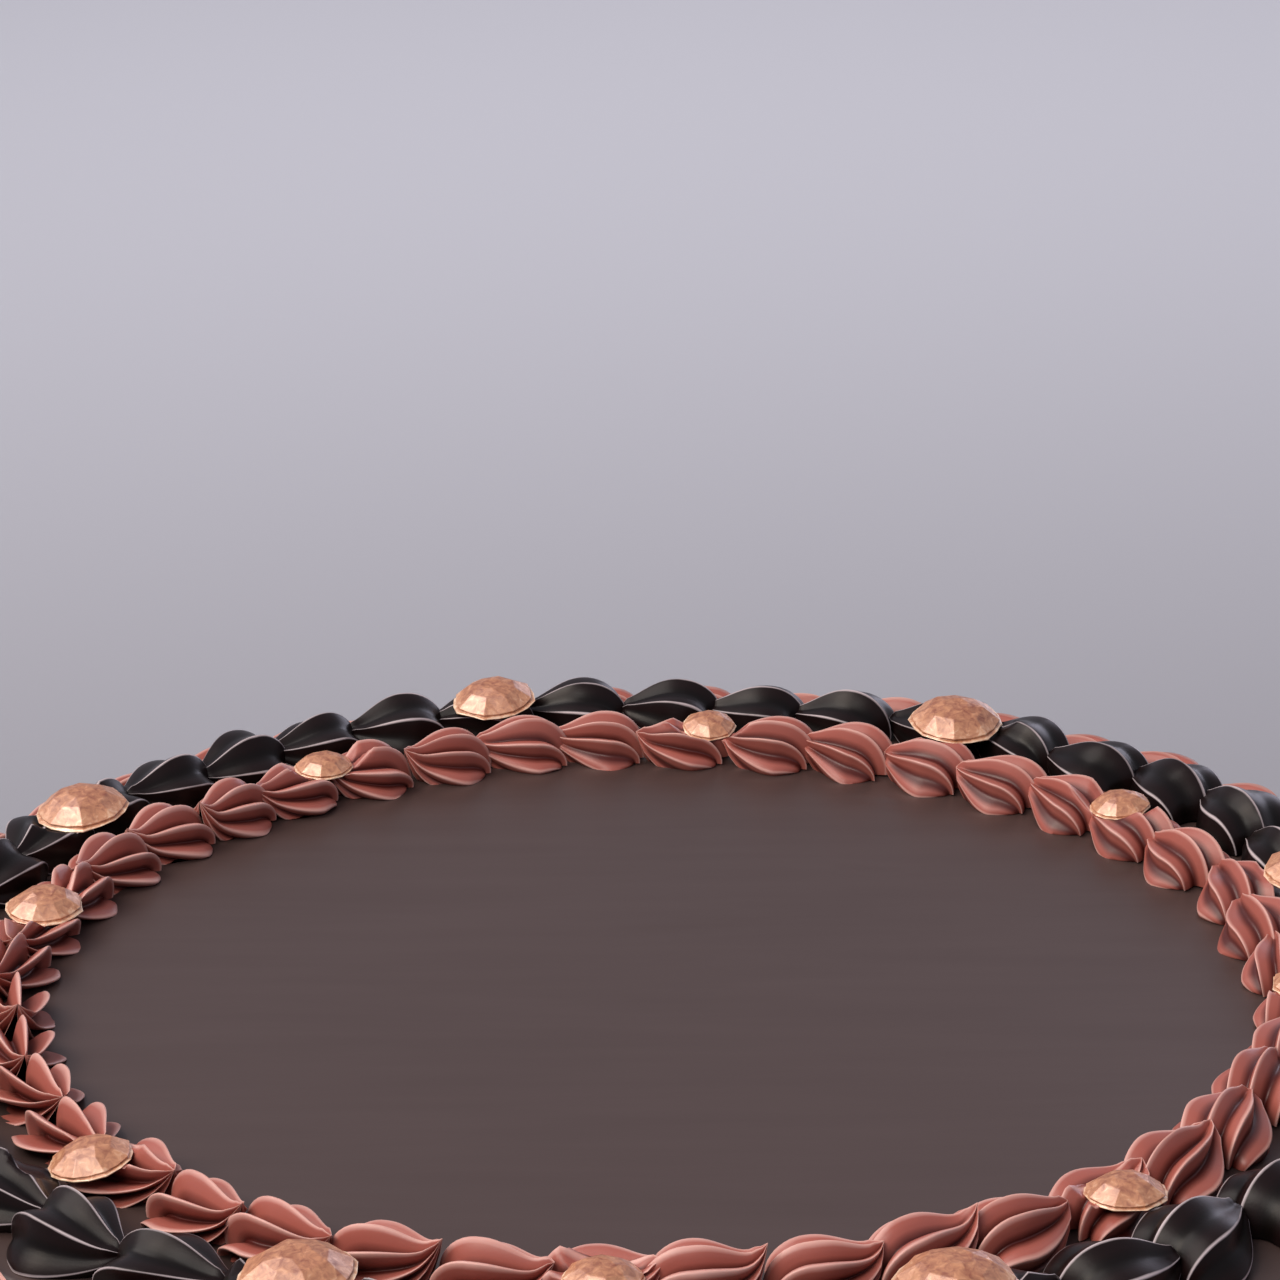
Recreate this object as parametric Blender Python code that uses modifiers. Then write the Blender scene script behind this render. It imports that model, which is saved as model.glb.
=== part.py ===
"""Ganache cake: a round coated cake with piped shell borders and pressed-in cut-stone gems.

Metres, +Z up, origin at the centre of the flat base. Angles run counter-clockwise seen from above,
from +X, and the view that shows the cake best looks along +Y.
"""

import math
import random
from dataclasses import dataclass

import bmesh
import bpy
import numpy as np
from mathutils import Matrix, Vector

MM = 0.001

# Driving dimensions of the coated cake
CAKE_RADIUS = 104 * MM
CAKE_HEIGHT = 100 * MM
TOP_EDGE_ROUND = 1.2 * MM
CAKE_SIDES = 72

# Clearance between touching pieces
GAP = 0.3 * MM

# Piping: a star nozzle leaves ridges; each shell swells from a low junction and tails off into the next
JUNCTION_HEIGHT = 0.52
JUNCTION_WIDTH = 0.72
HEAD_HEIGHT = 0.93
HEAD_WIDTH = 0.97
STATIONS = ((0.0, JUNCTION_WIDTH, JUNCTION_HEIGHT), (0.2, HEAD_WIDTH, HEAD_HEIGHT), (0.52, 1.0, 1.0))
VALLEY_DEPTH = 0.8
SHELL_UNEVENNESS = 0.05
SPACING_UNEVENNESS = 0.05
RING_WANDER = 0.25 * MM

# Gems: a thin rim, a crown of sloping facets and a low peak of flatter ones, pressed into the piping.
# Reaches are shares of half the width, heights are shares of the thickness above its back.
GEM_FACETS = 8
GEM_THICKNESS = 0.26
GEM_UNDERSIDE = 0.86
GEM_RIM_HEIGHT = 0.12
GEM_CROWN = 0.95
GEM_CROWN_HEIGHT = 0.24
GEM_SHOULDER = 0.64
GEM_SHOULDER_HEIGHT = 0.82
SMALL_GEM_MIDDLE = 4.9 * MM
LARGE_GEM_MIDDLE = 6.9 * MM
SEAT_HEIGHT = 12 * MM


@dataclass(frozen=True)
class Border:
    """One piped ring: the centre of its ridge fan, its half width and height, and how its shells lie."""

    name: str
    material: str
    radius: float
    base: float
    half_width: float
    height: float
    shells: int
    first_shell: float
    ridges: int = 5
    fan: tuple[float, float] = (0.0, 180.0)
    seat: tuple[tuple[float, float], ...] = ()
    seed: int = 1


INNER_MILK = Border("inner_milk_border", "milk_ganache", 81.5 * MM, CAKE_HEIGHT + GAP, 6.1 * MM, 6.1 * MM,
                    42, 90.5, seed=3)
DARK = Border("dark_border", "dark_ganache_piping", 94.7 * MM, CAKE_HEIGHT + GAP, 6.7 * MM, 6.8 * MM,
              44, 83.4, seed=5)
EDGE_DROP = 3.6 * MM
EDGE_SIZE = 5.5 * MM
EDGE_MILK = Border("edge_milk_border", "milk_ganache", CAKE_RADIUS + GAP, CAKE_HEIGHT - EDGE_DROP, EDGE_SIZE,
                   EDGE_SIZE, 44, 81.0, ridges=4, fan=(-90.0, 105.0),
                   seat=((-1.4 * MM, EDGE_DROP + GAP), (0.05 * MM, EDGE_DROP - 0.4 * MM)), seed=7)
BASE_DARK = Border("base_dark_border", "dark_ganache_piping", CAKE_RADIUS + GAP + 7.3 * MM, 0.0, 7.0 * MM,
                   8.6 * MM, 44, 85.0, ridges=4, seed=9)


@dataclass(frozen=True)
class Gem:
    """One gem: where it sits round the cake, its width, how its face leans to -Y and -X, and its turn."""

    name: str
    angle: float
    ring_radius: float
    middle: float
    width: float
    front: float
    left: float
    facet: float


def small_gem(number, angle, ring_radius, width, front, left, facet):
    return Gem(f"small_gem_{number:02d}", angle, ring_radius * MM, CAKE_HEIGHT + SMALL_GEM_MIDDLE, width * MM,
               front, left, facet)


def large_gem(number, angle, ring_radius, width, front, left, facet):
    return Gem(f"large_gem_{number:02d}", angle, ring_radius * MM, CAKE_HEIGHT + LARGE_GEM_MIDDLE, width * MM,
               front, left, facet)


GEMS = (
    small_gem(1, angle=167.2, ring_radius=81.9, width=10.6, front=5, left=0, facet=-124),
    small_gem(2, angle=124.6, ring_radius=82.2, width=8.7, front=4, left=0, facet=-115),
    small_gem(3, angle=83.8, ring_radius=83.2, width=8.1, front=12, left=0, facet=-112),
    small_gem(4, angle=37.4, ring_radius=82.7, width=8.8, front=4, left=6, facet=-127),
    small_gem(5, angle=-6.7, ring_radius=82.6, width=9.4, front=2, left=3, facet=-100),
    small_gem(6, angle=-51.0, ring_radius=83.5, width=9.7, front=-2, left=1, facet=-90),
    small_gem(7, angle=-93.8, ring_radius=84.0, width=9.4, front=0, left=0, facet=-108),
    small_gem(8, angle=-139.6, ring_radius=84.5, width=10.3, front=2, left=10, facet=-130),
    large_gem(1, angle=148.6, ring_radius=92.3, width=13.2, front=6, left=4, facet=-105),
    large_gem(2, angle=104.3, ring_radius=93.4, width=12.6, front=8, left=4, facet=-125),
    large_gem(3, angle=60.6, ring_radius=91.8, width=13.9, front=8, left=0, facet=-118),
    large_gem(4, angle=14.4, ring_radius=90.6, width=13.4, front=5, left=2, facet=-110),
    large_gem(5, angle=-28.5, ring_radius=93.2, width=13.0, front=1, left=2, facet=-95),
    large_gem(6, angle=-70.0, ring_radius=93.2, width=13.6, front=-1, left=1, facet=-117),
    large_gem(7, angle=-114.2, ring_radius=93.2, width=13.4, front=0, left=3, facet=-140),
    large_gem(8, angle=-161.0, ring_radius=93.2, width=13.2, front=1, left=-4, facet=-100),
)

# Colour, roughness and metallic value of each finish
FINISHES = {
    "dark_ganache_coat": ((0.095, 0.073, 0.077, 1.0), 0.42, 0.0),
    "dark_ganache_piping": ((0.012, 0.010, 0.010, 1.0), 0.32, 0.0),
    "milk_ganache": ((0.30, 0.088, 0.066, 1.0), 0.45, 0.0),
    "rose_gold_dust": ((0.68, 0.36, 0.19, 1.0), 0.38, 0.7),
}


def clear_scene():
    for obj in list(bpy.data.objects):
        bpy.data.objects.remove(obj, do_unlink=True)


def make_collection(name):
    collection = bpy.data.collections.new(name)
    bpy.context.scene.collection.children.link(collection)
    return collection


def make_material(name):
    colour, roughness, metallic = FINISHES[name]
    material = bpy.data.materials.new(name)
    material.use_nodes = True
    shader = material.node_tree.nodes["Principled BSDF"]
    shader.inputs["Base Color"].default_value = colour
    shader.inputs["Roughness"].default_value = roughness
    shader.inputs["Metallic"].default_value = metallic
    return material


def add_object(name, mesh, collection, material=None):
    obj = bpy.data.objects.new(name, mesh)
    collection.objects.link(obj)
    if material:
        mesh.materials.append(material)
    return obj


def cake_profile():
    """The coated cake's outline from the top centre over the rounded edge and down to the base."""
    edge = [(CAKE_RADIUS - TOP_EDGE_ROUND * (1 - math.sin(math.radians(turn))),
             CAKE_HEIGHT - TOP_EDGE_ROUND * (1 - math.cos(math.radians(turn)))) for turn in (0, 45, 90)]
    return [(0.0, CAKE_HEIGHT), *edge, (CAKE_RADIUS, 0.0), (0.0, 0.0)]


def build_cake(collection, material):
    """The solid cake under its smooth coat, turned from its outline."""
    mesh = bpy.data.meshes.new("cake_body")
    points = [(radius, 0.0, height) for radius, height in cake_profile()]
    mesh.from_pydata(points, [(step, step + 1) for step in range(len(points) - 1)], [])
    cake = add_object("cake_body", mesh, collection, material)
    screw = cake.modifiers.new("Turn", "SCREW")
    screw.axis = "Z"
    screw.steps = screw.render_steps = CAKE_SIDES
    screw.use_merge_vertices = True
    screw.merge_threshold = 0.00001
    screw.use_smooth_shade = False
    return cake


def section_points(border, width, height, wander):
    """One cross-section, as offsets out from the fan's centre and up: ridges and valleys, then the seat."""
    steps = 2 * border.ridges
    start, end = border.fan
    points = []
    for step in range(steps + 1):
        turn = math.radians(start + (end - start) * step / steps)
        foot = step in (0, steps)
        reach = 1.0 if step % 2 or foot else VALLEY_DEPTH
        out = reach * border.half_width * width * math.cos(turn)
        up = reach * border.height * height * math.sin(turn)
        points.append((out if foot else out + wander, up))
    return points + list(border.seat)


def shell_spacing(border, draw):
    """The angle where each shell starts, a little uneven, closing after a full turn."""
    steps = [1.0 + draw.uniform(-SPACING_UNEVENNESS, SPACING_UNEVENNESS) for _ in range(border.shells)]
    scale = 360.0 / sum(steps)
    starts = [border.first_shell]
    for step in steps:
        starts.append(starts[-1] + step * scale)
    return starts


def piped_rule(border):
    """Every point of the border, station by station, in the order of a torus's points."""
    draw = random.Random(border.seed)
    starts = shell_spacing(border, draw)
    points = []
    for shell in range(border.shells):
        unevenness = 1.0 + draw.uniform(-SHELL_UNEVENNESS, 0.0)
        wander = draw.uniform(-RING_WANDER, RING_WANDER)
        for share, width, height in STATIONS:
            turn = math.radians(starts[shell] + share * (starts[shell + 1] - starts[shell]))
            for out, up in section_points(border, width, height * unevenness, wander):
                reach = border.radius + out
                points.append((reach * math.cos(turn), reach * math.sin(turn), border.base + up))
    return np.array(points)


def build_border(border, collection, material):
    """A torus with a ring of points for each station, moved to where the nozzle leaves the piping."""
    around = border.shells * len(STATIONS)
    across = 2 * border.ridges + 1 + len(border.seat)
    bpy.ops.mesh.primitive_torus_add(major_segments=around, minor_segments=across,
                                     major_radius=border.radius, minor_radius=border.half_width)
    ring = bpy.context.object
    ring.name = ring.data.name = border.name
    ring.data.vertices.foreach_set("co", piped_rule(border).ravel())
    ring.data.materials.append(material)
    ring.data.update()
    for owner in list(ring.users_collection):
        owner.objects.unlink(ring)
    collection.objects.link(ring)
    return ring


def gem_mesh(name, width):
    """A cut stone: a sphere of facets whose rings move to the peak, shoulder, crown, rim and back."""
    radius, thickness = width / 2, width * GEM_THICKNESS
    rings = {3: (0.0, 1.0), 2: (GEM_SHOULDER, GEM_SHOULDER_HEIGHT), 1: (GEM_CROWN, GEM_CROWN_HEIGHT),
             0: (1.0, GEM_RIM_HEIGHT), -1: (GEM_UNDERSIDE, 0.0)}
    shape = bmesh.new()
    bmesh.ops.create_uvsphere(shape, u_segments=GEM_FACETS, v_segments=6, radius=1.0)
    bmesh.ops.delete(shape, geom=[v for v in shape.verts if v.co.z < -0.7], context="VERTS")
    bmesh.ops.contextual_create(shape, geom=[e for e in shape.edges if e.is_boundary])
    for point in shape.verts:
        level = round(math.degrees(math.asin(max(-1.0, min(1.0, point.co.z)))) / 30)
        reach, height = rings[level]
        turn = math.atan2(point.co.y, point.co.x)
        point.co = Vector((radius * reach * math.cos(turn), radius * reach * math.sin(turn),
                           thickness * (height - 0.5)))
    bmesh.ops.recalc_face_normals(shape, faces=shape.faces)
    mesh = bpy.data.meshes.new(name)
    shape.to_mesh(mesh)
    shape.free()
    return mesh


def gem_place(gem):
    """Where a gem sits: on its ring, leaning its own way, with one facet facing its heading."""
    turn = math.radians(gem.angle)
    spot = Vector((gem.ring_radius * math.cos(turn), gem.ring_radius * math.sin(turn), gem.middle))
    front = Matrix.Rotation(math.radians(gem.front), 4, "X")
    left = Matrix.Rotation(math.radians(-gem.left), 4, "Y")
    spin = Matrix.Rotation(math.radians(gem.facet) - math.pi / GEM_FACETS, 4, "Z")
    return Matrix.Translation(spot) @ front @ left @ spin


def build_gem(gem, collection, material):
    stone = add_object(gem.name, gem_mesh(gem.name, gem.width), collection, material)
    stone.matrix_world = gem_place(gem)
    return stone


def cut_seat(gem, collection):
    """The room a gem needs in the soft piping: a short post round it, open upward."""
    post = bmesh.new()
    floor = -gem.width * GEM_THICKNESS / 2 - GAP
    lift = Matrix.Translation((0.0, 0.0, floor + SEAT_HEIGHT / 2))
    reach = gem.width / 2 + GAP / math.cos(math.pi / GEM_FACETS)
    bmesh.ops.create_cone(post, cap_ends=True, segments=GEM_FACETS, radius1=reach, radius2=reach,
                          depth=SEAT_HEIGHT, matrix=lift)
    mesh = bpy.data.meshes.new(f"seat_of_{gem.name}")
    post.to_mesh(mesh)
    post.free()
    cutter = add_object(mesh.name, mesh, collection)
    cutter.matrix_world = gem_place(gem)
    cutter.hide_render = True
    cutter.display_type = "WIRE"


def press_gems_into(ring, seats):
    """Gems leave their print in the rings below them."""
    print_in = ring.modifiers.new("Gem seats", "BOOLEAN")
    print_in.operation = "DIFFERENCE"
    print_in.operand_type = "COLLECTION"
    print_in.collection = seats
    print_in.solver = "EXACT"


def main():
    clear_scene()
    parts = make_collection("Ganache cake")
    seats = make_collection("Gem seats")
    finishes = {name: make_material(name) for name in FINISHES}
    build_cake(parts, finishes["dark_ganache_coat"])
    rings = {border.name: build_border(border, parts, finishes[border.material])
             for border in (INNER_MILK, DARK, EDGE_MILK, BASE_DARK)}
    for gem in GEMS:
        build_gem(gem, parts, finishes["rose_gold_dust"])
        cut_seat(gem, seats)
    for border in (INNER_MILK, DARK):
        press_gems_into(rings[border.name], seats)


main()
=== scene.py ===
"""Looks of the ganache cake: a smooth dark coat, four rings of piped shells and sixteen dusted gems.

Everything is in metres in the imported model's frame: +Z up, the origin under the middle of the cake.
Angles run counter-clockwise seen from above, from +X, and the main view looks along +Y.
"""

import logging  # noqa: E402
import math  # noqa: E402
from dataclasses import dataclass, field  # noqa: E402
from enum import Enum  # noqa: E402
from typing import Any  # noqa: E402

import bpy  # noqa: E402
import numpy as np  # noqa: E402
from mathutils import Matrix, Vector  # noqa: E402


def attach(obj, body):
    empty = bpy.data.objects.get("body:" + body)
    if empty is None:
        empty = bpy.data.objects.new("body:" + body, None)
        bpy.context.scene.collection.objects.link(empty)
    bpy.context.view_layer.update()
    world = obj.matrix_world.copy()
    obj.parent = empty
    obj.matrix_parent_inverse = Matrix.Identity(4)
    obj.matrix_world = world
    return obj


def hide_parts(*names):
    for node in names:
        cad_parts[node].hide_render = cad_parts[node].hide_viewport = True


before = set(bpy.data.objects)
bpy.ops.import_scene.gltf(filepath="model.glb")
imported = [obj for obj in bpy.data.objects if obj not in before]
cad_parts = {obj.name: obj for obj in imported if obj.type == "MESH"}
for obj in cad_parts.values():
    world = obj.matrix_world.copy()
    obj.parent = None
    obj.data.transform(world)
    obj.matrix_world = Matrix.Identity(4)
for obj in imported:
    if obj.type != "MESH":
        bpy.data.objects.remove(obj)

log = logging.getLogger("ganache_cake")

MM = 0.001

# The coated cake, as the model has it
CAKE_RADIUS = 104 * MM
CAKE_HEIGHT = 100 * MM

# How soft a shell is: piped crisp, still firm, and slumped
CRISP, FIRM, SLUMPED = -1.0, -0.45, 1.0

# The seed of the gems' unevenness
GEM_SEED = 33


class Chocolate(Enum):
    """The two ganaches that the borders are piped from."""

    MILK = "milk_piping"
    DARK = "dark_piping"


class GemSize(Enum):
    """The two sizes of moulded gem, each with the start of its solids' names."""

    SMALL = "small_gem"
    LARGE = "large_gem"


def linear(colour: str) -> tuple[float, float, float, float]:
    """Turn an sRGB hex colour into the linear values that a shader takes.

    Args:
        colour: six hex digits, with or without a leading hash.

    Returns:
        Linear red, green and blue, and an alpha of one.
    """
    digits = colour.lstrip("#")
    values = [int(digits[place:place + 2], 16) / 255 for place in (0, 2, 4)]
    red, green, blue = (v / 12.92 if v <= 0.04045 else ((v + 0.055) / 1.055) ** 2.4 for v in values)
    return red, green, blue, 1.0


def add_node(tree: bpy.types.NodeTree, kind: str, settings: dict[str | int, Any] | None = None,
             links: dict[str | int, bpy.types.NodeSocket] | None = None) -> bpy.types.Node:
    """Add a node with its settings and links.

    Args:
        tree: the node tree that it joins.
        kind: Blender's name for the node's type.
        settings: attributes of the node, or default values of its inputs, by name or by number.
        links: what feeds each input, by name or by number.

    Returns:
        The new node.
    """
    node = tree.nodes.new(kind)
    for name, value in (settings or {}).items():
        if isinstance(name, str) and hasattr(node, name):
            setattr(node, name, value)
        else:
            node.inputs[name].default_value = value
    for name, socket in (links or {}).items():
        tree.links.new(socket, node.inputs[name])
    return node


def paint_ramp(node: bpy.types.Node, stops: list[tuple[float, str]]) -> None:
    """Set a colour ramp's stops.

    Args:
        node: the colour ramp.
        stops: a place from 0 to 1 and an sRGB hex colour for each stop.
    """
    elements = node.color_ramp.elements
    while len(elements) < len(stops):
        elements.new(1.0)
    for element, (place, colour) in zip(elements, stops):
        element.position = place
        element.color = linear(colour)


def new_material(name: str) -> tuple[bpy.types.Material, bpy.types.NodeTree, bpy.types.Node]:
    """Make an empty node material with a Principled shader wired to its output.

    Args:
        name: the material's name.

    Returns:
        The material, its tree and its shader.
    """
    material = bpy.data.materials.new(name)
    material.use_nodes = True
    tree = material.node_tree
    tree.nodes.clear()
    shader = add_node(tree, "ShaderNodeBsdfPrincipled")
    add_node(tree, "ShaderNodeOutputMaterial", links={"Surface": shader.outputs["BSDF"]})
    return material, tree, shader


@dataclass(frozen=True)
class Relief:
    """A fine relief in a finish: its strength from 0 to 1, and its depth in metres."""

    strength: float
    depth: float

    def add(self, tree: bpy.types.NodeTree, links: dict[str, bpy.types.NodeSocket]) -> bpy.types.Node:
        """Return a new bump node of this relief, fed by the links."""
        return add_node(tree, "ShaderNodeBump", {"Strength": self.strength, "Distance": self.depth}, links)


def add_noise(tree: bpy.types.NodeTree, place: bpy.types.Node, size: float,
              settings: dict[str, Any]) -> bpy.types.Node:
    """Add noise that is fixed to the piece.

    Args:
        tree: the node tree that it joins.
        place: the texture coordinates.
        size: about how far apart its spots lie, in metres.
        settings: its detail and the like.

    Returns:
        The noise node.
    """
    return add_node(tree, "ShaderNodeTexNoise", {"Scale": 1 / size, **settings},
                    {"Vector": place.outputs["Object"]})


def add_gloss(tree: bpy.types.NodeTree, noise: bpy.types.Node, span: tuple[float, float],
              roughness: tuple[float, float]) -> bpy.types.Node:
    """Add a roughness that follows a noise.

    Args:
        tree: the node tree that it joins.
        noise: what it follows.
        span: the noise's low and high value.
        roughness: the roughness at each of them.

    Returns:
        The node that gives the roughness.
    """
    return add_node(tree, "ShaderNodeMapRange", {
        "From Min": span[0], "From Max": span[1], "To Min": roughness[0], "To Max": roughness[1],
    }, {"Value": noise.outputs["Fac"]})


def wire(tree: bpy.types.NodeTree, shader: bpy.types.Node, colour: bpy.types.Node, gloss: bpy.types.Node,
         relief: bpy.types.Node) -> None:
    """Feed a shader its colour, its roughness and its relief.

    Args:
        tree: the shader's node tree.
        shader: the Principled shader.
        colour: the ramp that gives its colour.
        gloss: the node that gives its roughness.
        relief: the bump node.
    """
    tree.links.new(colour.outputs["Color"], shader.inputs["Base Color"])
    tree.links.new(gloss.outputs["Result"], shader.inputs["Roughness"])
    tree.links.new(relief.outputs["Normal"], shader.inputs["Normal"])


@dataclass(frozen=True)
class SetGanacheCoat:
    """Dark ganache spread with a palette knife and left to set.

    It gives the eye a flat dark brown that goes grey at a low angle, where it mirrors the pale room, and
    faint wide strokes where the knife passed.
    """

    body: str = "#413330"
    stroke: str = "#453734"
    roughness: float = 0.38
    gloss_swing: float = 0.02
    ior: float = 1.46
    stroke_heading: float = 14.0
    stroke_length: float = 42 * MM
    stroke_width: float = 5 * MM
    stroke_span: tuple[float, float] = (0.35, 0.75)
    stroke_relief: Relief = Relief(0.06, 0.06 * MM)
    grain: float = 0.5 * MM
    grain_relief: Relief = Relief(0.22, 0.02 * MM)

    def make(self) -> bpy.types.Material:
        """Build the coat's material.

        Returns:
            The material.
        """
        material, tree, shader = new_material("set_ganache_coat")
        place = add_node(tree, "ShaderNodeTexCoord")
        strokes = add_node(tree, "ShaderNodeMapping", {
            "Rotation": (0.0, 0.0, math.radians(self.stroke_heading)),
            "Scale": (1 / self.stroke_length, 1 / self.stroke_width, 1 / self.stroke_width),
        }, {"Vector": place.outputs["Object"]})
        smear = add_node(tree, "ShaderNodeTexNoise", {"Scale": 1.0, "Detail": 4.0, "Roughness": 0.55},
                         {"Vector": strokes.outputs["Vector"]})
        grain = add_noise(tree, place, self.grain, {"Detail": 3.0})
        colour = add_node(tree, "ShaderNodeValToRGB", links={"Fac": smear.outputs["Fac"]})
        paint_ramp(colour, [(self.stroke_span[0], self.body), (self.stroke_span[1], self.stroke)])
        gloss = add_gloss(tree, smear, (0.3, 0.75),
                          (self.roughness + self.gloss_swing, self.roughness - self.gloss_swing))
        wide = self.stroke_relief.add(tree, {"Height": smear.outputs["Fac"]})
        fine = self.grain_relief.add(tree, {"Height": grain.outputs["Fac"], "Normal": wide.outputs["Normal"]})
        wire(tree, shader, colour, gloss, fine)
        shader.inputs["IOR"].default_value = self.ior
        return material


@dataclass(frozen=True)
class PipedGanache:
    """Whipped ganache pressed through a star nozzle: soft satin, with painted shade darkening its valleys and
    a painted highlight paling its ridges and the tips of its tails.
    """

    name: str
    body: str
    # The hollow colour is painted shade down in the valleys; the pale colour at the top of the ridge share is
    # a painted highlight on the ridges and tail tips.
    hollow: str
    film_and_highlight: str
    highlight_from: float
    roughness: float
    ior: float = 1.45
    subsurface: float = 0.0
    subsurface_depth: float = 1.2 * MM
    subsurface_share: tuple[float, float, float] = (1.0, 0.4, 0.25)
    hollow_to: float = 0.08
    body_from: float = 0.45
    bubble: float = 0.35 * MM
    bubble_relief: Relief = Relief(0.22, 0.04 * MM)
    patch: float = 9 * MM
    patch_blend: float = 0.22
    gloss_swing: tuple[float, float] = (-0.04, 0.06)

    def make(self) -> bpy.types.Material:
        """Build the piping's material.

        Returns:
            The material.
        """
        material, tree, shader = new_material(self.name)
        place = add_node(tree, "ShaderNodeTexCoord")
        ridge = add_node(tree, "ShaderNodeAttribute", {"attribute_name": "ridge"})
        patch = add_noise(tree, place, self.patch, {"Detail": 3.0})
        blend = add_node(tree, "ShaderNodeMath", {
            "operation": "MULTIPLY_ADD", 1: self.patch_blend, 2: -self.patch_blend / 2,
        }, {0: patch.outputs["Fac"]})
        depth = add_node(tree, "ShaderNodeMath", {"operation": "ADD"},
                         {0: ridge.outputs["Fac"], 1: blend.outputs["Value"]})
        colour = add_node(tree, "ShaderNodeValToRGB", links={"Fac": depth.outputs["Value"]})
        # Painted shade toward the valleys, the body's own colour between, and a painted highlight on the
        # ridges and tail tips.
        paint_ramp(colour, [(self.hollow_to, self.hollow), (self.body_from, self.body),
                            (self.highlight_from, self.body), (1.0, self.film_and_highlight)])
        bubble = add_noise(tree, place, self.bubble, {"Detail": 2.0})
        relief = self.bubble_relief.add(tree, {"Height": bubble.outputs["Fac"]})
        gloss = add_gloss(tree, patch, (0.3, 0.7),
                          (self.roughness + self.gloss_swing[0], self.roughness + self.gloss_swing[1]))
        wire(tree, shader, colour, gloss, relief)
        shader.inputs["IOR"].default_value = self.ior
        if self.subsurface:
            shader.inputs["Subsurface Weight"].default_value = self.subsurface
            shader.inputs["Subsurface Radius"].default_value = self.subsurface_share
            shader.inputs["Subsurface Scale"].default_value = self.subsurface_depth
        return material


@dataclass(frozen=True)
class LustreDust:
    """Moulded chocolate brushed with rose-gold lustre dust.

    The dust is coated mica, so a facet turned to the light mirrors it nearly white. It lies thick on the
    rim and thin in patches on the facets, where the brown chocolate shows through.
    """

    # The first colour here is the dust film's own colour.
    film_and_highlight: str = "#CA8C62"
    thin: str = "#863E18"
    rim: str = "#F3D3B2"
    thin_to: float = 0.30
    film_at: float = 0.67
    rim_share: float = 0.45
    roughness: float = 0.32
    thin_roughness: float = 0.14
    metallic: float = 0.15
    ior: float = 2.2
    streak: float = 1.0 * MM
    streak_relief: Relief = Relief(0.35, 0.09 * MM)

    def make(self) -> bpy.types.Material:
        """Build the gems' material.

        Returns:
            The material.
        """
        material, tree, shader = new_material("rose_gold_dust")
        place = add_node(tree, "ShaderNodeTexCoord")
        wrinkle = add_noise(tree, place, self.streak, {"Detail": 4.0, "Roughness": 0.55, "Distortion": 0.7})
        rim = add_node(tree, "ShaderNodeAttribute", {"attribute_name": "rim"})
        thickness = add_node(tree, "ShaderNodeMath", {"operation": "MULTIPLY_ADD", 1: self.rim_share},
                             {0: rim.outputs["Fac"], 2: wrinkle.outputs["Fac"]})
        colour = add_node(tree, "ShaderNodeValToRGB", links={"Fac": thickness.outputs["Value"]})
        paint_ramp(colour, [(self.thin_to, self.thin), (self.film_at, self.film_and_highlight), (1.0, self.rim)])
        gloss = add_gloss(tree, wrinkle, (0.3, 0.7), (self.roughness + self.thin_roughness, self.roughness))
        relief = self.streak_relief.add(tree, {"Height": wrinkle.outputs["Fac"]})
        wire(tree, shader, colour, gloss, relief)
        shader.inputs["Metallic"].default_value = self.metallic
        shader.inputs["IOR"].default_value = self.ior
        return material


@dataclass(frozen=True)
class StudioPaper:
    """Matt pale background paper, which gives the eye nothing but an even tone."""

    tone: str = "#8C8D94"
    roughness: float = 0.9
    specular: float = 0.2

    def make(self) -> bpy.types.Material:
        """Build the paper's material.

        Returns:
            The material.
        """
        material, _, shader = new_material("studio_paper")
        shader.inputs["Base Color"].default_value = linear(self.tone)
        shader.inputs["Roughness"].default_value = self.roughness
        shader.inputs["Specular IOR Level"].default_value = self.specular
        return material


def link(name: str, data: bpy.types.ID) -> bpy.types.Object:
    """Return a new object of the data, linked to the scene."""
    item = bpy.data.objects.new(name, data)
    bpy.context.scene.collection.objects.link(item)
    return item


def mesh_piece(name: str, points: np.ndarray, faces: np.ndarray,
               material: bpy.types.Material) -> bpy.types.Object:
    """Make a smooth object from points and four-cornered faces.

    Args:
        name: the piece's name.
        points: one row for each point, in metres.
        faces: one row of four point numbers for each face.
        material: what it is dressed in.

    Returns:
        The new object, linked to the scene.
    """
    mesh = bpy.data.meshes.new(name)
    mesh.from_pydata(points.tolist(), [], faces.tolist())
    mesh.materials.append(material)
    mesh.shade_smooth()
    return link(name, mesh)


def grid_faces(rows: int, columns: int, closed: bool = False) -> np.ndarray:
    """Number the faces of a grid of points.

    Args:
        rows: how many rows of points it has.
        columns: how many points each row has.
        closed: whether each row's end meets its start.

    Returns:
        Four point numbers for each face.
    """
    across = columns if closed else columns - 1
    row, column = np.meshgrid(np.arange(rows - 1), np.arange(across), indexing="ij")
    after = (column + 1) % columns
    corners = [row * columns + column, (row + 1) * columns + column,
               (row + 1) * columns + after, row * columns + after]
    return np.stack([corner.ravel() for corner in corners], axis=1)


@dataclass
class KnifeMark:
    """A faint print of the palette knife in the set coat: its middle, length, width, heading and depth."""

    middle: tuple[float, float]
    length: float
    width: float
    heading: float
    depth: float = 0.045 * MM
    ripple: float = 2.2

    def rise(self, x: np.ndarray, y: np.ndarray) -> np.ndarray:
        """Work out how the print lifts and lowers the coat.

        Args:
            x: where each point lies along X.
            y: where each point lies along Y.

        Returns:
            The rise of each point, in metres.
        """
        heading = math.radians(self.heading)
        along = (x - self.middle[0]) * math.cos(heading) + (y - self.middle[1]) * math.sin(heading)
        across = (y - self.middle[1]) * math.cos(heading) - (x - self.middle[0]) * math.sin(heading)
        print_shape = np.exp(-((2 * along / self.length) ** 4) - (across / self.width) ** 2)
        return self.depth * print_shape * np.sin(across / self.width * self.ripple)


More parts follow.
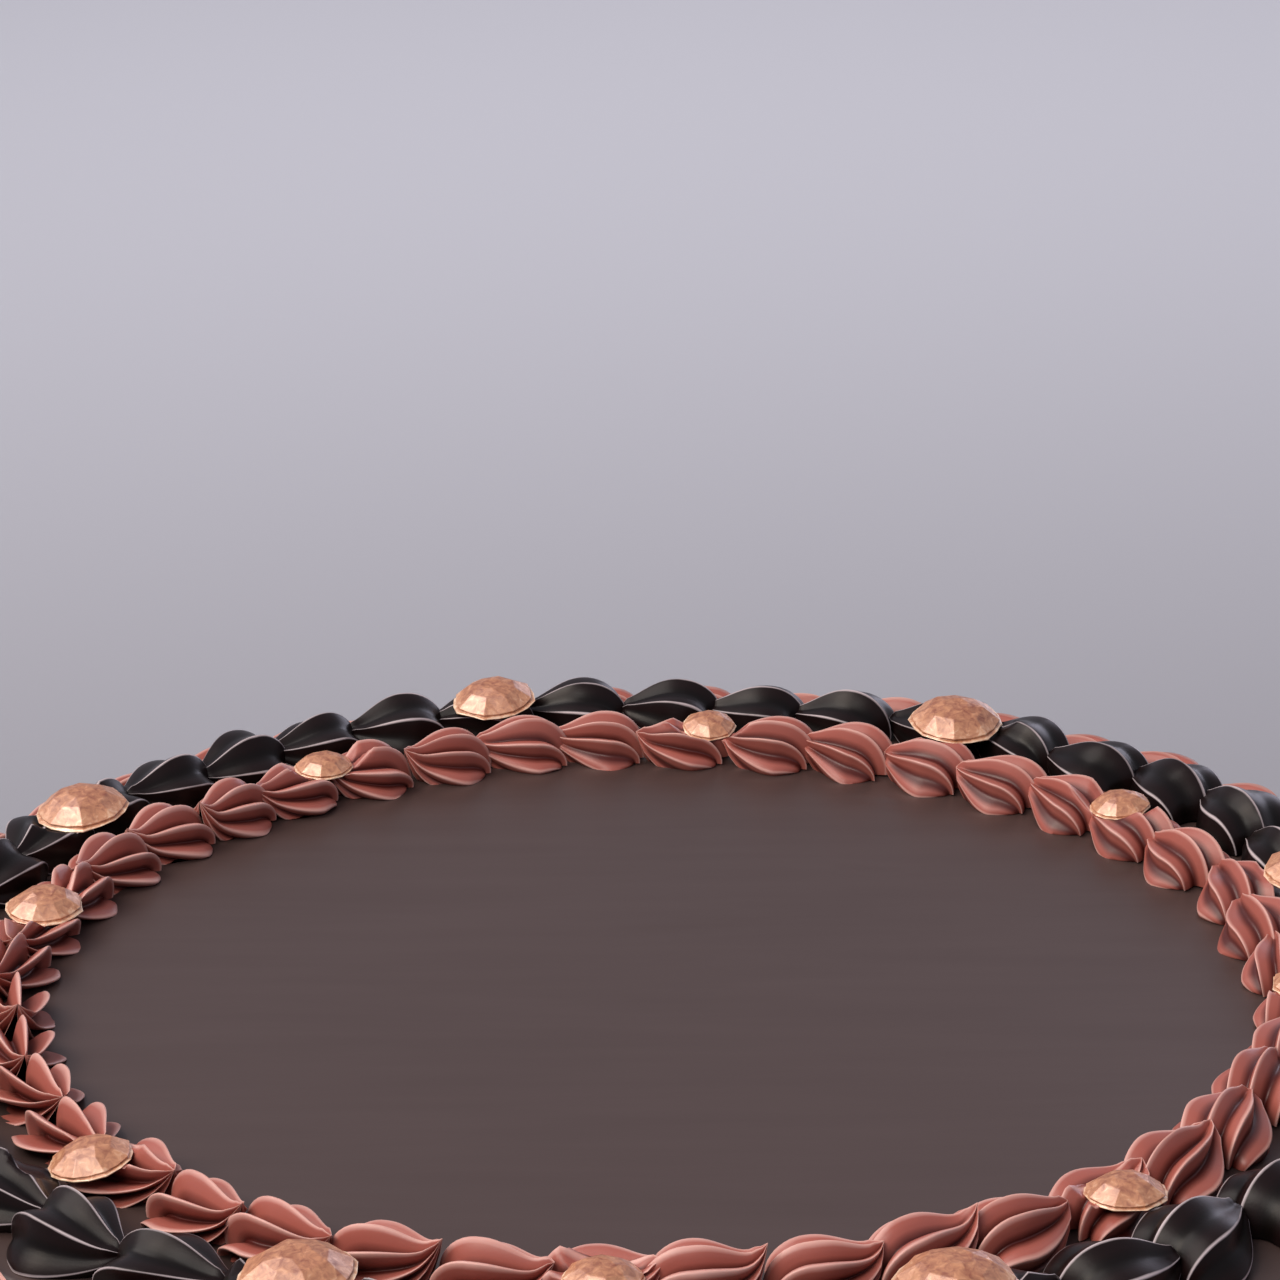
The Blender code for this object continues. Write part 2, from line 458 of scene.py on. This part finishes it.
@dataclass
class CoatedCake:
    """The cake under its smooth coat."""

    radius: float = CAKE_RADIUS
    height: float = CAKE_HEIGHT
    edge_round: float = 1.2 * MM
    around: int = 360
    top_rings: int = 96
    ring_crowding: float = 0.8
    edge_rings: int = 5
    wall_rings: int = 34
    middle_hole: float = 0.02 * MM
    swell: float = 0.10 * MM
    swell_lengths: tuple[float, float, float] = (23 * MM, 31 * MM, 13 * MM)
    level_from: float = 0.98
    level_over: float = 4 * MM
    marks: list[KnifeMark] = field(default_factory=lambda: [
        KnifeMark((30 * MM, 38 * MM), 9 * MM, 1.6 * MM, -12.0),
        KnifeMark((55 * MM, -34.5 * MM), 22 * MM, 1.0 * MM, 4.0),
        KnifeMark((33 * MM, 63 * MM), 12 * MM, 1.8 * MM, -24.0),
        KnifeMark((-35 * MM, -57 * MM), 13 * MM, 1.4 * MM, -6.0),
        KnifeMark((6 * MM, 19 * MM), 20 * MM, 3.0 * MM, 9.0, 0.03 * MM),
    ])

    def outline(self) -> np.ndarray:
        """Return the cake's outline from the top's middle over the edge to the base's middle."""
        flat = self.radius - self.edge_round
        shares = np.linspace(0.0, 1.0, self.top_rings) ** self.ring_crowding
        top = [(flat * share, self.height) for share in shares]
        turns = np.radians(np.linspace(15, 75, self.edge_rings))
        edge = [(flat + self.edge_round * math.sin(t), self.height - self.edge_round * (1 - math.cos(t)))
                for t in turns]
        wall = [(self.radius, z) for z in np.linspace(self.height - self.edge_round, 0.0, self.wall_rings)]
        return np.array(top + edge + wall + [(0.0, 0.0)])

    def unevenness(self, points: np.ndarray) -> np.ndarray:
        """Work out how far the knife left each point of the top above or below the level.

        Args:
            points: one row of x, y and z for each point.

        Returns:
            The rise of each point, in metres.
        """
        x, y = points[:, 0], points[:, 1]
        wide, long, short = self.swell_lengths
        rise = self.swell * (np.sin(x / wide + 0.6) * np.sin(y / long - 0.4)
                             + 0.5 * np.sin((x + 0.6 * y) / short))
        for mark in self.marks:
            rise += mark.rise(x, y)
        return rise

    def build(self, finish: bpy.types.Material) -> bpy.types.Object:
        """Build the coated cake.

        Args:
            finish: the coat's material.

        Returns:
            The piece.
        """
        outline = self.outline()
        turns = np.linspace(0.0, math.tau, self.around, endpoint=False)
        radius, height = outline[:, 0][:, None], outline[:, 1][:, None]
        radius = np.maximum(radius, self.middle_hole)
        points = np.stack([radius * np.cos(turns), radius * np.sin(turns), height + 0.0 * turns],
                          axis=-1).reshape(-1, 3)
        inward = self.radius * self.level_from - np.hypot(points[:, 0], points[:, 1])
        points[:, 2] += np.clip(inward / self.level_over, 0.0, 1.0) * self.unevenness(points)
        faces = grid_faces(len(outline), self.around, closed=True)
        piece = mesh_piece("coated_cake", points, faces, finish)
        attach(piece, "root")
        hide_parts("cake_body")
        return piece


@dataclass(frozen=True)
class PressedGem:
    """Where one gem lies: its place with its face along Z and a corner along X, its width and thickness."""

    place: Matrix
    width: float
    thickness: float
    sink: float = 0.35 * MM
    slope: float = 0.9
    press_reach: float = 1.7
    dome_at: tuple[float, ...] = (0.26, 0.52, 0.9, 1.0)
    dome_height: tuple[float, ...] = (0.84, 0.70, 0.2, 0.1)

    def press(self, points: np.ndarray) -> np.ndarray:
        """Push down the piping that would show through the gem or stand over its rim.

        The piping keeps below the gem's own dome, and rises again with a slope away from its rim.

        Args:
            points: one row for each point of the piping.

        Returns:
            The points, with those over the gem moved into it.
        """
        turn = np.array(self.place.to_3x3())
        local = (points - np.array(self.place.translation)) @ turn
        reach = np.hypot(local[:, 0], local[:, 1]) / (self.width / 2)
        back = -self.thickness / 2
        dome = back + self.thickness * np.interp(reach, self.dome_at, self.dome_height)
        round_it = back + np.maximum(reach - 1.0, 0.0) * self.width / 2 * self.slope
        ceiling = np.where(reach < 1.0, dome - self.sink, round_it)
        near = (reach < self.press_reach) & (local[:, 2] > ceiling)
        local[near, 2] = ceiling[near]
        return local @ turn.T + np.array(self.place.translation)


@dataclass(frozen=True)
class NozzlePath:
    """How the nozzle goes over one shell, in shares of the shell's spacing and height, its lean in degrees.

    It turns over the head until `turn_end`, then draws off into the tail.
    """

    turn_end: float = 0.40
    middle: float = 0.40
    lean: float = 86.0
    lean_fall: float = 1.15
    start_drop: float = 0.04
    tail_fall: float = 1.2
    taper: float = 1.25
    tip_taper: tuple[float, float] = (0.7, 0.05)
    head_size: tuple[float, float] = (0.86, 0.14)
    ridge_share: tuple[float, float, float] = (1.1, -0.15, 0.15)


@dataclass(frozen=True)
class PipingHand:
    """How unevenly the shells are piped: the least and the most that each may vary by."""

    spacing: tuple[float, float] = (-0.08, 0.08)
    tooth_shift: tuple[float, float] = (-0.12, 0.12)
    twist: tuple[float, float] = (-0.14, 0.22)
    fan_shift: tuple[float, float] = (-0.2, 0.2)
    wave_start: tuple[float, float] = (0, 6)
    ridge_depth: tuple[float, float] = (0.88, 1.08)
    width: tuple[float, float] = (-0.06, 0.05)
    height: tuple[float, float] = (-0.09, 0.05)
    tip: tuple[float, float] = (0.4, 1.5)
    tail_rise: tuple[float, float] = (-0.06, 0.10)
    tail_swing: tuple[float, float] = (-0.12, 0.12)
    yaw: tuple[float, float] = (-7, 7)


@dataclass
class PipedBorder:
    """A ring of shells piped one into the next with a star nozzle.

    Each shell starts with a bulging head, whose ridges fan out over it, and is drawn off into a narrow tail
    that the next head covers. Heads lie at the smaller angle. Shells are softest toward `warm_side` and crisp
    on the side across from it. `ridge_depth` is for a crisp, a firm and a slumped shell, `ridge_round` for a
    crisp and a firm one, and `fluted` says how much of each valley is a wide scoop as shells turn from firm
    to slumped. `half_tooth` has where the points of a section lie from a ridge to a valley.
    """

    name: str
    node: str
    chocolate: Chocolate
    radius: float
    base: float
    half_width: float
    height: float
    shells: int
    first_shell: float
    seed: int
    lean: float = 0.0
    teeth: int = 9
    ridge_depth: tuple[float, float, float] = (0.71, 0.50, 0.33)
    ridge_round: tuple[float, float] = (4.6, 1.45)
    fluted: tuple[float, float] = (0.15, 1.0)
    fluted_from: float = -0.4
    fluted_to: float = 0.8
    scoop_round: float = 1.05
    squareness: float = 0.5
    skew: float = 0.06
    fan_start: float = -61.0
    fan_share: float = 0.84
    wave: float = 0.03
    wave_turns: tuple[float, float] = (2.1, 5.0)
    side_fade: float = 0.45
    side_narrow: float = 0.14
    foot_fade: tuple[float, float] = (0.45, 0.35)
    foot_height: float = 0.6
    tail_height: float = 0.36
    tail_size: float = 0.24
    tail_reach: float = 1.12
    tail_drift: float = 0.0
    flick: float = 0.4
    flick_fall: float = 0.8
    flick_power: int = 12
    # How sharply the painted highlight gathers at the tail's tip.
    tip_highlight_power: int = 10
    head_swell: float = 0.0
    warm_side: float = 22.0
    path: NozzlePath = NozzlePath()
    hand: PipingHand = PipingHand()
    rows: int = 30
    sunk: float = 0.35 * MM
    half_tooth: tuple[float, ...] = (0.0, 0.07, 0.24, 0.46, 0.68, 0.88)

    def teardrop(self) -> tuple[np.ndarray, np.ndarray, np.ndarray, np.ndarray, np.ndarray]:
        """Work out the path of the nozzle for one shell.

        Returns:
            For each row: how far along, how high, the lean of the section, its size, and its share of ridge.
        """
        path = self.path
        step = np.linspace(0.0, 1.0, self.rows)
        spacing = math.tau * self.radius / self.shells
        middle = path.middle * spacing
        head = np.clip(step / path.turn_end, 0.0, 1.0)
        tail = np.clip((step - path.turn_end) / (1 - path.turn_end), 0.0, 1.0)
        lean = np.radians(path.lean) * (1 - head) ** path.lean_fall
        along = middle + tail * (spacing * self.tail_reach - middle)
        height = self.height * (-path.start_drop * (1 - head) + self.tail_height * tail ** path.tail_fall)
        taper = self.tail_size + (1 - self.tail_size) * np.cos(tail * math.pi / 2) ** path.taper
        taper[-len(path.tip_taper):] *= path.tip_taper
        size = (path.head_size[0] + path.head_size[1] * np.sin(head * math.pi / 2)) * taper
        depth = path.ridge_share[0] + path.ridge_share[1] * head + path.ridge_share[2] * tail
        return along, height, lean, size, depth

    def columns(self) -> np.ndarray:
        """Return where the points of a section lie, in teeth: closest together at ridges and valleys."""
        rise = np.array(self.half_tooth)
        tooth = np.concatenate([rise / 2, [0.5], 1.0 - rise[:0:-1] / 2])
        span = math.ceil(self.teeth * self.fan_share)
        return np.concatenate([tooth + k for k in range(span)] + [[span]])

    def star(self, in_teeth: np.ndarray, slump: float) -> np.ndarray:
        """Work out how far below the ridge line each point of a section lies.

        Crisp shells have round ridges with a cut between them, slumped ones sharp ridges with a scoop
        between.

        Args:
            in_teeth: places round the section, in teeth, with a ridge at each whole number.
            slump: how soft the shell is, from -1 for crisp to 1 for slumped.

        Returns:
            Nought on a ridge and one at the bottom of a valley.
        """
        place = in_teeth - np.floor(in_teeth)
        share = 1.0 - np.abs(2.0 * place - 1.0)
        fluted = float(np.interp(slump, [self.fluted_from, self.fluted_to], self.fluted))
        ridge_round = float(np.interp(slump, [CRISP, FIRM], self.ridge_round))
        cut = 1.0 - np.clip(np.cos(share * math.pi / 2), 0.0, 1.0) ** ridge_round
        scoop = np.sin(share * math.pi / 2) ** self.scoop_round
        return (1.0 - fluted) * cut + fluted * scoop

    def shell(self, draw: np.random.Generator, slump: float) -> tuple[np.ndarray, np.ndarray]:
        """Shape one shell before it is laid on its ring.

        Args:
            draw: the seeded source of its unevenness.
            slump: how soft its ridges are, from -1 for crisp to 1 for slumped.

        Returns:
            Its points, as along, across and up, and how near each is to a ridge, raised at the tail's tip,
            which sets the finish's painted shade and painted highlight.
        """
        along, height, lean, size, depth = (value[:, None] for value in self.teardrop())
        hand = self.hand
        step = np.linspace(0.0, 1.0, self.rows)[:, None]
        soft = max(slump, 0.0)
        in_teeth = self.columns()[None, :]
        hollow = self.star(in_teeth, slump)

        # Where each point of a section lies round the nozzle
        tooth = math.tau / self.teeth
        leaning = self.skew * np.sin(in_teeth * math.tau) / math.pi
        shifts = draw.uniform(*hand.tooth_shift, self.teeth + 2)
        jitter = np.interp(in_teeth, np.arange(self.teeth + 2), shifts)
        twist = draw.uniform(*hand.twist) * np.linspace(-0.5, 1.0, self.rows)[:, None]
        first = math.radians(self.fan_start) + draw.uniform(*hand.fan_shift) * tooth
        turns = first + (in_teeth + leaning + jitter) * tooth - twist

        # How far out it lies: on a ridge, in a cut, or down at the foot
        sway = np.sin(np.linspace(0, self.wave_turns[1], self.rows))[:, None]
        wave = self.wave * np.sin(in_teeth * self.wave_turns[0] + draw.uniform(*hand.wave_start)) * sway
        side = np.sin(lean) * np.cos(turns) ** 2
        low = np.clip(1.0 - np.sin(turns) / self.foot_height, 0.0, 1.0)
        foot = 1.0 - (self.foot_fade[0] + self.foot_fade[1] * slump) * low
        deepest = float(np.interp(slump, [CRISP, FIRM, SLUMPED], self.ridge_depth))
        depth = depth * deepest * draw.uniform(*hand.ridge_depth) * (1 - self.side_fade * side) * foot
        reach = size * (1 - depth * hollow - self.side_narrow * side + wave)

        # The section set on the nozzle's path, its tail drawn off and its tip flicked up
        width = self.half_width * (1.0 + draw.uniform(*hand.width))
        rise = self.height * (1.0 + draw.uniform(*hand.height) + self.head_swell * soft)
        tail = np.clip((step - self.path.turn_end) / (1 - self.path.turn_end), 0.0, 1.0) ** 2
        tip = self.flick * (1.0 - self.flick_fall * soft) * draw.uniform(*hand.tip) * step ** self.flick_power
        height = height + self.height * (tail * draw.uniform(*hand.tail_rise) + tip)
        swing = tail * (self.tail_drift + draw.uniform(*hand.tail_swing))
        across = width * (reach * np.cos(turns) + swing)
        out = rise * reach * np.sin(turns)
        along = along - self.squareness * rise * size * np.sin(lean) * np.abs(np.cos(turns)) ** 3
        points = np.stack([along - out * np.sin(lean), across, height + out * np.cos(lean)], axis=-1)
        points[..., 1] += points[..., 0] * math.sin(math.radians(draw.uniform(*hand.yaw)))
        # Near a ridge and at the tail's tip the finish paints a highlight; down in a valley it paints shade.
        return points, np.maximum(1.0 - hollow, step ** self.tip_highlight_power) + 0.0 * reach

    def lay(self, points: np.ndarray, start: float) -> np.ndarray:
        """Lay a shell on the ring, leaning outward where the ring runs along an edge.

        Args:
            points: the shell's points, as along, across and up.
            start: the angle where its head begins, in radians.

        Returns:
            The points in the model's frame.
        """
        lean = math.radians(self.lean)
        out = points[..., 1] * math.cos(lean) + points[..., 2] * math.sin(lean)
        up = points[..., 2] * math.cos(lean) - points[..., 1] * math.sin(lean)
        if not self.lean:
            up = np.maximum(up, -self.sunk)
        turn = start + points[..., 0] / self.radius
        reach = self.radius + out
        return np.stack([reach * np.cos(turn), reach * np.sin(turn), self.base + up], axis=-1)

    def build(self, finish: bpy.types.Material, gems: list[PressedGem]) -> bpy.types.Object:
        """Pipe the whole ring.

        Args:
            finish: the ganache's material.
            gems: the gems pressed into it.

        Returns:
            The piece.
        """
        draw = np.random.default_rng(self.seed)
        steps = 1.0 + draw.uniform(*self.hand.spacing, self.shells)
        before = np.concatenate([[0.0], np.cumsum(steps)[:-1]])
        points, ridges = [], []
        for start in math.radians(self.first_shell) + math.tau * before / steps.sum():
            shell, ridge = self.shell(draw, math.cos(start - math.radians(self.warm_side)))
            points.append(self.lay(shell, start).reshape(-1, 3))
            ridges.append(ridge.ravel())
        joined = np.concatenate(points)
        for gem in gems:
            joined = gem.press(joined)
        faces = grid_faces(self.rows, len(self.columns()))
        each = self.rows * len(self.columns())
        every = np.concatenate([faces + each * k for k in range(self.shells)])
        piece = mesh_piece(self.name, joined, every, finish)
        # The ridge share drives the finish's painted shade in the valleys and painted highlight on the
        # ridges.
        layer = piece.data.attributes.new("ridge", "FLOAT", "POINT")
        layer.data.foreach_set("value", np.concatenate(ridges).astype(np.float32))
        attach(piece, "root")
        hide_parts(self.node)
        return piece


@dataclass(frozen=True)
class RimRing:
    """A ring of corners low on a gem, two for each side.

    Its reach is a share of the gem's half width and its height one of its thickness. The corner between two
    of the gem's own lies nearer in and lower, by a share of the reach and of the thickness. `ragged` is how
    far corners vary, and `dust` how thick the dust lies.
    """

    reach: float
    height: float
    between: float
    ragged: float
    sag: float = 0.0
    dust: float = 0.0


@dataclass(frozen=True)
class TableRing:
    """A ring of corners on a gem's dome, one for each side: its reach, height and turn in sides."""

    reach: float
    height: float
    turn: float


@dataclass
class MouldedGem:
    """A flat-backed cut stone moulded in chocolate: a ragged rim, large sloping facets and a broken table.

    It lies where its solid in the model lies. Its rings run from the back over the rim's lower and upper
    edge and the groove above it to the foot of the crown, then up to the table and its middle.
    """

    node: str
    sides: int = 8
    low: tuple[RimRing, ...] = (
        RimRing(0.84, 0.0, 0.96, 0.0),
        RimRing(0.98, 0.05, 0.97, 0.06, dust=1.0),
        RimRing(0.98, 0.12, 0.97, 0.06, dust=1.0),
        RimRing(0.91, 0.17, 0.96, 0.02),
        RimRing(0.94, 0.27, 0.955, 0.015, sag=0.04, dust=0.35),
    )
    high: tuple[TableRing, ...] = (TableRing(0.57, 0.76, 0.0), TableRing(0.26, 0.93, 0.5))
    shift: float = 0.06
    stretch: float = 0.05
    tilt: float = 0.04
    worn_width: float = 0.15 * MM
    worn_from: float = 8.0

    def lie(self) -> PressedGem:
        """Work out where the gem lies from the corners of its solid.

        Returns:
            Its place, width and thickness.
        """
        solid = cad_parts[self.node]
        corners = np.array([solid.matrix_world @ point.co for point in solid.data.vertices])
        corners = np.unique(corners.round(6), axis=0)
        middle = corners.mean(axis=0)
        face = np.linalg.svd(corners - middle)[2][2]
        face *= math.copysign(1.0, face[2])
        rise = (corners - middle) @ face
        middle += face * (rise.min() + rise.max()) / 2
        flat = corners - middle
        flat -= np.outer(flat @ face, face)
        reach = np.linalg.norm(flat, axis=1)
        corner = flat[reach.argmax()] / reach.max()
        turn = Matrix([corner, np.cross(face, corner), face]).transposed()
        place = Matrix.Translation(middle) @ turn.to_4x4()
        return PressedGem(place, 2 * reach.max(), rise.max() - rise.min())

    def rings(self, gem: PressedGem, draw: np.random.Generator) -> list[np.ndarray]:
        """Work out the rings of corners from the back to the table.

        Args:
            gem: where it lies and how wide and thick it is.
            draw: the seeded source of its unevenness.

        Returns:
            One array of corners for each ring: two for each side up to the crown's foot, then one.
        """
        odd = np.arange(2 * self.sides) % 2
        found = []
        for ring in self.low:
            turns = np.arange(2 * self.sides) * math.tau / (2 * self.sides)
            wobble = 1 + draw.uniform(-1, 1, 2 * self.sides) * ring.ragged
            found.append((ring.reach * np.where(odd, ring.between, 1.0) * wobble, turns,
                          ring.height - ring.sag * odd))
        for ring in self.high:
            shifts = draw.uniform(-self.shift, self.shift, self.sides)
            turns = (np.arange(self.sides) + ring.turn + shifts) * math.tau / self.sides
            reaches = ring.reach * (1 + draw.uniform(-self.stretch, self.stretch, self.sides))
            found.append((reaches, turns, ring.height + draw.uniform(-self.tilt, self.tilt, self.sides)))
        radius = gem.width / 2
        return [np.stack([radius * reaches * np.cos(turns), radius * reaches * np.sin(turns),
                          gem.thickness * (heights - 0.5) + 0.0 * turns], axis=-1)
                for reaches, turns, heights in found]

    def faces(self) -> list[list[int]]:
        """Number the facets: the back, the rim, one large facet a side, the broken table and its middle."""
        around, sides = 2 * self.sides, self.sides
        table = len(self.low) * around
        crown, peak = table - around, table + sides
        faces = [list(face) for face in grid_faces(len(self.low), around, closed=True)[:, ::-1]]
        faces.append(list(range(around)))
        for side in range(sides):
            after = (side + 1) % sides
            foot = crown + 2 * side
            faces.append([foot, foot + 1, crown + 2 * after, table + after, table + side])
            faces.append([table + side, table + after, peak + side])
            faces.append([table + after, peak + after, peak + side])
        faces.append([peak + side for side in range(sides)])
        return faces

    def build(self, finish: bpy.types.Material, draw: np.random.Generator) -> bpy.types.Object:
        """Build the gem.

        Args:
            finish: its material.
            draw: the seeded source of its unevenness.

        Returns:
            The piece.
        """
        gem = self.lie()
        mesh = bpy.data.meshes.new(self.node)
        mesh.from_pydata(np.concatenate(self.rings(gem, draw)).tolist(), [], self.faces())
        mesh.materials.append(finish)
        rim = np.zeros(len(mesh.vertices), np.float32)
        rim[:2 * self.sides * len(self.low)] = np.repeat([ring.dust for ring in self.low], 2 * self.sides)
        mesh.attributes.new("rim", "FLOAT", "POINT").data.foreach_set("value", rim)
        mesh.validate()
        piece = link(f"moulded_{self.node}", mesh)
        piece.matrix_world = gem.place
        edge = piece.modifiers.new("worn_edges", "BEVEL")
        edge.width = self.worn_width
        edge.segments = 2
        edge.limit_method = "ANGLE"
        edge.angle_limit = math.radians(self.worn_from)
        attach(piece, "root")
        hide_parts(self.node)
        return piece


@dataclass(frozen=True)
class SoftLamp:
    """A soft square lamp: where it hangs, its side in metres, its power in watts, its colour and its aim."""

    name: str
    place: tuple[float, float, float]
    size: float
    power: float
    colour: str
    aim: tuple[float, float, float] = (0.0, 0.0, CAKE_HEIGHT)

    def hang(self) -> None:
        """Hang the lamp."""
        data = bpy.data.lights.new(self.name, "AREA")
        data.size = self.size
        data.energy = self.power
        data.color = linear(self.colour)[:3]
        lamp = link(self.name, data)
        lamp.location = self.place
        lamp.rotation_euler = (Vector(self.aim) - Vector(self.place)).to_track_quat("-Z", "Y").to_euler()


@dataclass(frozen=True)
class Daylight:
    """Wide daylight from one side: its heading from +X, height and spread in degrees, and its irradiance."""

    heading: float = 205.0
    height: float = 45.0
    spread: float = 28.0
    strength: float = 1.22
    colour: str = "#FFF0E0"

    def let_in(self) -> None:
        """Let the daylight in."""
        data = bpy.data.lights.new("daylight", "SUN")
        data.angle = math.radians(self.spread)
        data.energy = self.strength
        data.color = linear(self.colour)[:3]
        turn, rise = math.radians(self.heading), math.radians(self.height)
        toward = Vector((math.cos(turn) * math.cos(rise), math.sin(turn) * math.cos(rise), math.sin(rise)))
        link("daylight", data).rotation_euler = toward.to_track_quat("Z", "Y").to_euler()


@dataclass
class Studio:
    """Pale paper, soft light and the camera at the view that shows the cake best."""

    camera_place: tuple[float, float, float] = (-1.1 * MM, -452.0 * MM, 306.4 * MM)
    pitch: float = 19.44
    roll: float = -0.45
    lens: float = 109.0
    sensor: float = 36.0
    floor_size: float = 8.0
    daylight: Daylight = Daylight()
    lamps: tuple[SoftLamp, ...] = (
        SoftLamp("left_window", (-0.63, 0.14, 0.88), 0.8, 6.5, "#FFF5EF"),
        SoftLamp("front_card", (-0.20, -0.44, 0.60), 0.26, 1.5, "#FFF8F0"),
        SoftLamp("side_window", (1.45, 2.95, 0.70), 1.3, 12.0, "#E4E1F6"),
        SoftLamp("back_wash", (0.0, 0.5, 1.6), 1.2, 72.0, "#FBF9FB", aim=(0.0, 5.5, 0.6)),
    )
    room_tone: str = "#CFCCDA"
    room_strength: float = 0.58

    def build(self, paper: bpy.types.Material) -> None:
        """Lay the floor, hang the lights and set the camera.

        Args:
            paper: the floor's material.
        """
        self.lay_floor(paper)
        self.light()
        self.set_camera()

    def lay_floor(self, paper: bpy.types.Material) -> None:
        """Lay the pale paper that the cake stands on."""
        half = self.floor_size / 2
        corners = np.array([(-half, -half, 0), (half, -half, 0), (half, half, 0), (-half, half, 0)])
        floor = mesh_piece("studio_floor", corners, np.array([[0, 1, 2, 3]]), paper)

    def light(self) -> None:
        """Light the cake from the left and the front left, with a window far behind it and an even room.

        The last lamp lights the paper behind the cake.
        """
        self.daylight.let_in()
        for lamp in self.lamps:
            lamp.hang()
        world = bpy.data.worlds.new("pale_room")
        world.use_nodes = True
        background = world.node_tree.nodes["Background"]
        background.inputs["Color"].default_value = linear(self.room_tone)
        background.inputs["Strength"].default_value = self.room_strength
        bpy.context.scene.world = world

    def set_camera(self) -> None:
        """Set the camera before the cake, looking down on its top."""
        data = bpy.data.cameras.new("view")
        data.lens = self.lens
        data.sensor_width = self.sensor
        camera = link("view", data)
        aim = Matrix.Rotation(math.radians(90 - self.pitch), 4, "X")
        camera.matrix_world = (Matrix.Translation(self.camera_place) @ aim
                               @ Matrix.Rotation(math.radians(self.roll), 4, "Z"))
        bpy.context.scene.camera = camera


def borders() -> list[PipedBorder]:
    """Return the four piped rings, from the inside out and down to the foot."""
    on_top = CAKE_HEIGHT + 0.3 * MM
    return [
        PipedBorder("inner_milk_shells", "inner_milk_border", Chocolate.MILK, radius=81.5 * MM, base=on_top,
                    half_width=6.4 * MM, height=6.2 * MM, shells=42, first_shell=90.5, seed=3, rows=25),
        PipedBorder("dark_shells", "dark_border", Chocolate.DARK, radius=94.8 * MM, base=on_top,
                    half_width=7.3 * MM, height=6.9 * MM, shells=44, first_shell=83.4, seed=5, teeth=7,
                    fluted=(1.0, 1.0), ridge_depth=(0.24, 0.22, 0.18), tail_height=0.26, tail_size=0.2,
                    flick=0.1),
        PipedBorder("edge_milk_shells", "edge_milk_border", Chocolate.MILK, radius=CAKE_RADIUS,
                    base=CAKE_HEIGHT - 4.0 * MM, half_width=5.9 * MM, height=5.4 * MM, shells=44,
                    first_shell=81.5, seed=7, lean=45.0, rows=26, tail_drift=-0.3, head_swell=0.3,
                    warm_side=42.0, half_tooth=(0.0, 0.2, 0.5, 0.8)),
        PipedBorder("base_dark_shells", "base_dark_border", Chocolate.DARK, radius=111.4 * MM, base=0.0,
                    half_width=7.0 * MM, height=8.6 * MM, shells=44, first_shell=85.0, seed=9, teeth=7,
                    fluted=(1.0, 1.0), ridge_depth=(0.24, 0.22, 0.2), flick=0.1, rows=26, sunk=0.0,
                    half_tooth=(0.0, 0.12, 0.4, 0.75)),
    ]


def gems() -> list[MouldedGem]:
    """Return the gems, eight of each size."""
    return [MouldedGem(f"{size.value}_{number:02d}") for size in GemSize for number in range(1, 9)]


def main() -> None:
    """Dress the cake piece by piece."""
    logging.basicConfig(level=logging.INFO, format="%(message)s")
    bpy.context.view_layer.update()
    bpy.context.scene.view_settings.view_transform = "Standard"
    piping = {
        # Each hollow colour is painted shade in the valleys, and each pale ridge colour is a painted
        # highlight on the ridges and tail tips.
        Chocolate.MILK: PipedGanache("milk_ganache", body="#9E584D", hollow="#4E1B16", film_and_highlight="#CFA096",
                                     highlight_from=0.80, roughness=0.38, subsurface=0.06).make(),
        Chocolate.DARK: PipedGanache("dark_ganache", body="#160B0B", hollow="#0C0706", film_and_highlight="#BBAFB2",
                                     highlight_from=0.90, roughness=0.34, ior=1.29).make(),
    }
    cake = CoatedCake().build(SetGanacheCoat().make())
    log.info("built %s", cake.name)
    stones = gems()
    pressed = [gem.lie() for gem in stones]
    for border in borders():
        ring = border.build(piping[border.chocolate], pressed)
        log.info("piped %s, %d faces", ring.name, len(ring.data.polygons))
    dust = LustreDust().make()
    draw = np.random.default_rng(GEM_SEED)
    for gem in stones:
        log.info("set %s", gem.build(dust, draw).name)
    Studio().build(StudioPaper().make())


if __name__ == "__main__":
    main()
